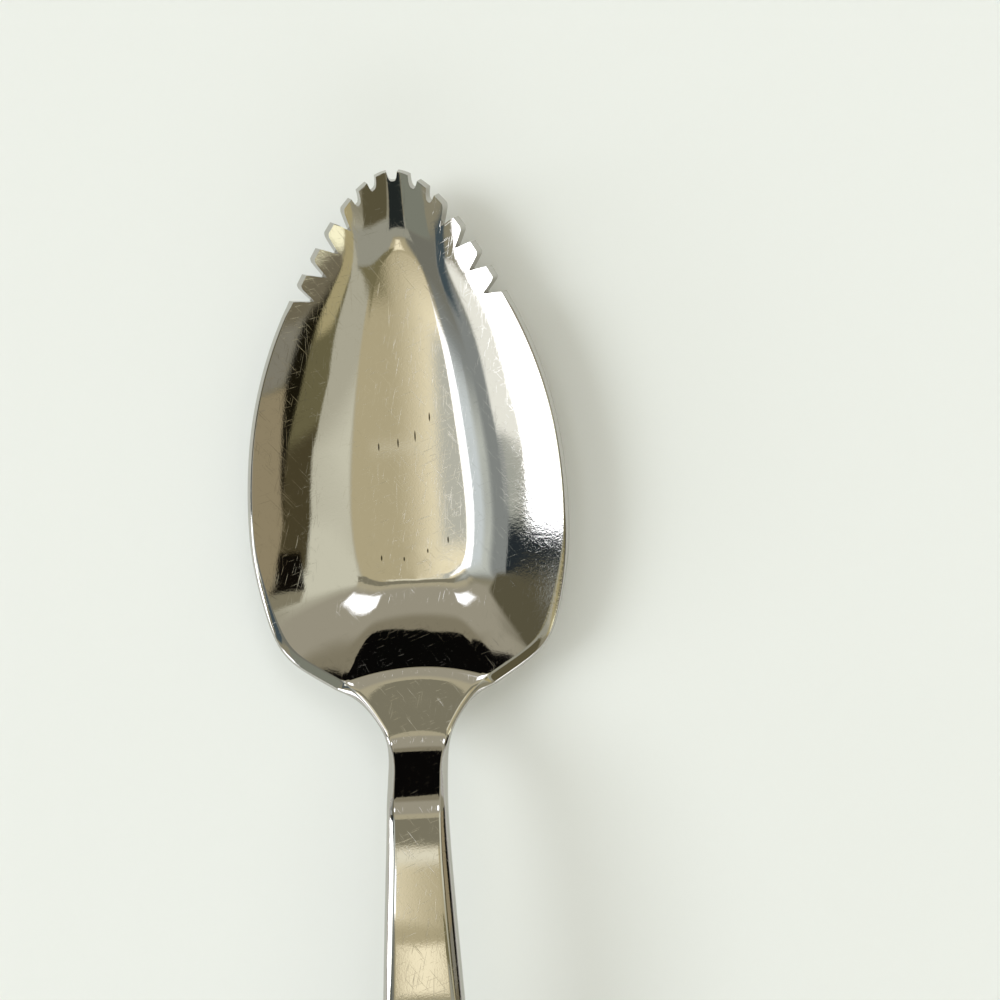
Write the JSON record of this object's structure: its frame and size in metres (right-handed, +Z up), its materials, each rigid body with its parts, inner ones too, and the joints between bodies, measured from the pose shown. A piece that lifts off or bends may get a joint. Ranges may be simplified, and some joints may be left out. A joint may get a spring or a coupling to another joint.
{
  "type": "grapefruit spoon",
  "caption": "Stainless steel grapefruit spoon with a pointed bowl, a flat bowl floor, teeth round the tip and an arched flat handle.",
  "frame": {"origin": "on the table that the spoon lies on, below the middle of its length and width", "axes": "+Y along the spoon from the handle towards the toothed tip, +Z up out of the bowl, +X across the spoon"},
  "size_m": [0.03, 0.1586, 0.0144],
  "materials": {
    "stainless_steel": "mirror polished, with fine scratches from use"
  },
  "bodies": {
    "root": {"bowl": "stainless_steel", "neck": "stainless_steel", "handle": "stainless_steel"}
  },
  "joints": []
}
